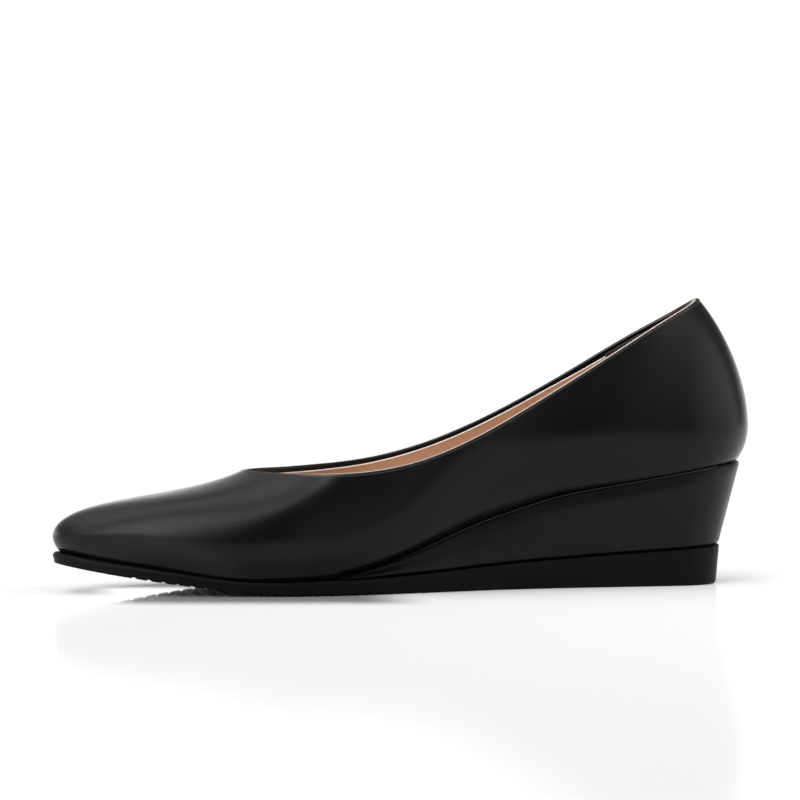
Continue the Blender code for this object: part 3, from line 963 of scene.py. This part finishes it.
floor_mesh = bpy.data.meshes.new("tabletop")
floor_corners = [
    (-FLOOR_BACK, FLOOR_FRONT, -FLOOR_DROP),
    (FLOOR_BACK, FLOOR_FRONT, -FLOOR_DROP),
    (FLOOR_BACK, FLOOR_BACK, -FLOOR_DROP),
    (-FLOOR_BACK, FLOOR_BACK, -FLOOR_DROP),
]
floor_mesh.from_pydata(floor_corners, [], [(0, 1, 2, 3)])
floor = bpy.data.objects.new("tabletop", floor_mesh)
bpy.context.scene.collection.objects.link(floor)
floor_material, floor_tree, floor_shader = new_material("white_tabletop")
floor_tree.nodes.remove(floor_shader)
matt = add_node(floor_tree, "ShaderNodeBsdfDiffuse", {"Color": FLOOR_WHITE})
gloss = add_node(floor_tree, "ShaderNodeBsdfGlossy", {"Color": PURE_WHITE, "Roughness": GLOSS_ROUGHNESS})
satin = add_node(floor_tree, "ShaderNodeMixShader", {
    "Fac": FLOOR_GLOSS, 1: matt.outputs["BSDF"], 2: gloss.outputs["BSDF"],
})

# The tabletop is polished under the ball and the toe, where the ribs mirror in it, and its base there
# is a darker grey, a painted contact shadow. Each gate has a direction, and where along it the polish
# and the painted shade start and are full.
POLISHED_AND_SHADED = (
    ((0.2164, 0.9763, 0.0), -0.085, -0.06),
    ((-0.2164, -0.9763, 0.0), -0.005, 0.02),
    ((1.0, 0.0, 0.0), -0.118, -0.1),
    ((-1.0, 0.0, 0.0), 0.005, 0.03),
)
# Grey painted on the polished patch as shade next to the sole
PAINTED_SHADE_GREY = (0.5, 0.5, 0.5, 1.0)
POLISH_ROUGHNESS = 0.05


def gate(tree, way, toward, start, end):
    """A share that grows smoothly from 0 to 1 while a place or a view moves towards a direction."""
    turned = add_node(tree, "ShaderNodeVectorMath", {0: way, 1: toward}, operation="DOT_PRODUCT")
    return add_node(tree, "ShaderNodeMapRange", {
        "Value": turned.outputs["Value"], "From Min": start, "From Max": end,
    }, interpolation_type="SMOOTHSTEP").outputs["Result"]


def combined(tree, one, other, operation):
    """Two lights or shares put together."""
    return add_node(tree, "ShaderNodeMath", {0: one, 1: other}, operation=operation).outputs["Value"]


table_place = floor_tree.nodes.new("ShaderNodeTexCoord").outputs["Object"]
polish_and_shade = 1.0
for toward, start, end in POLISHED_AND_SHADED:
    polish_and_shade = combined(floor_tree, polish_and_shade, gate(floor_tree, table_place, toward, start, end), "MULTIPLY")
# Painted shade: the patch's grey base darkens the tabletop next to the sole; its gloss is rendered
polished_shaded_patch = add_node(floor_tree, "ShaderNodeBsdfPrincipled", {
    "Base Color": PAINTED_SHADE_GREY, "Roughness": POLISH_ROUGHNESS, "Specular IOR Level": 1.0,
})
tabletop = add_node(floor_tree, "ShaderNodeMixShader", {
    "Fac": polish_and_shade, 1: satin.outputs["Shader"], 2: polished_shaded_patch.outputs["BSDF"],
})
floor_tree.links.new(tabletop.outputs["Shader"], floor_tree.nodes["Material Output"].inputs["Surface"])
floor_mesh.materials.append(floor_material)

ROOM_GLOW = 0.18

# Soft lights of the room. Each has gates: a direction, and where along it the light starts and is full.
LEFT_EDGE = ((-0.932, 0.16, 0.324), 0.28, 0.41)
LOW_EDGE = ((0.0, 0.0, 1.0), -0.06, 0.08)
SOFT_LIGHTS = (
    ("left wall", 2.1, (
        LEFT_EDGE,
        LOW_EDGE,
        ((0.0, -1.0, 0.0), -0.95, -0.1),
        ((0.8, -0.6, 0.0), -1.1, -0.6),
    )),
    ("left front", 3.2, (LEFT_EDGE, LOW_EDGE, ((0.0, -1.0, 0.0), 0.1, 0.9))),
    ("back top", 0.12, (((0.0, 0.8, 0.6), 0.75, 0.95),)),
    ("right top", 0.33, (((0.65, -0.35, 0.67), 0.7, 0.92),)),
    ("right side", 1.0, (((0.95, -0.3, 0.05), 0.72, 0.93), ((0.0, -1.0, 0.0), -0.7, -0.1))),
    ("backdrop", 1.4, (
        ((0.0, 1.0, 0.0), 0.1, 0.5),
        ((0.0, 0.0, -1.0), -0.3, -0.08),
        ((-1.0, 0.0, 0.0), -0.95, -0.6),
        ((1.0, 0.0, 0.0), -0.95, -0.6),
    )),
)

world = bpy.data.worlds.new("white_studio")
world.use_nodes = True
bpy.context.scene.world = world
sky = world.node_tree
way = sky.nodes.new("ShaderNodeTexCoord").outputs["Generated"]
room = ROOM_GLOW
for _, glow, gates in SOFT_LIGHTS:
    light = glow
    for toward, start, end in gates:
        light = combined(sky, light, gate(sky, way, toward, start, end), "MULTIPLY")
    room = combined(sky, room, light, "ADD")
seen = sky.nodes.new("ShaderNodeLightPath").outputs["Is Camera Ray"]
sky.links.new(combined(sky, room, seen, "MAXIMUM"), sky.nodes["Background"].inputs["Strength"])
sky.nodes["Background"].inputs["Color"].default_value = PURE_WHITE


def soft_panel(name, place, aim, size, glow):
    """A rectangular soft panel at a place, facing a point, as bright as a glow times white."""
    light = bpy.data.lights.new(name, "AREA")
    light.shape = "RECTANGLE"
    light.size, light.size_y = size
    light.energy = glow * np.pi * size[0] * size[1]
    panel = bpy.data.objects.new(name, light)
    panel.location = place
    to_aim = np.subtract(aim, place)
    tilt = np.arctan2(np.hypot(*to_aim[:2]), -to_aim[2])
    panel.rotation_euler = (tilt, 0, np.arctan2(-to_aim[0], to_aim[1]))
    panel.visible_camera = False
    bpy.context.scene.collection.objects.link(panel)
    return panel


soft_panel("front_panel", place=(0.1, -0.85, 0.15), aim=(0.1, 0.0, 0.05), size=(0.14, 0.3), glow=0.5)
table_light = soft_panel(
    "table_light", place=(0.42, -0.15, 0.5), aim=(0.36, -0.1, 0.0), size=(0.3, 0.3), glow=5.0,
)
table_light.visible_glossy = False

# Camera
# Level, a little above the sole, in front of the toe's side: the photograph's angle to the shoe.

CAMERA_PLACE = (-0.1891, -0.8365, 0.066)
CAMERA_TURN = 12.5
CAMERA_LENS = 108.68
SENSOR = 36.0

camera_data = bpy.data.cameras.new("studio_camera")
camera_data.lens = CAMERA_LENS
camera_data.sensor_width = SENSOR
camera = bpy.data.objects.new("studio_camera", camera_data)
camera.location = CAMERA_PLACE
camera.rotation_euler = (np.pi / 2, 0, -np.radians(CAMERA_TURN))
bpy.context.scene.collection.objects.link(camera)
bpy.context.scene.camera = camera
bpy.context.scene.view_settings.view_transform = "Standard"
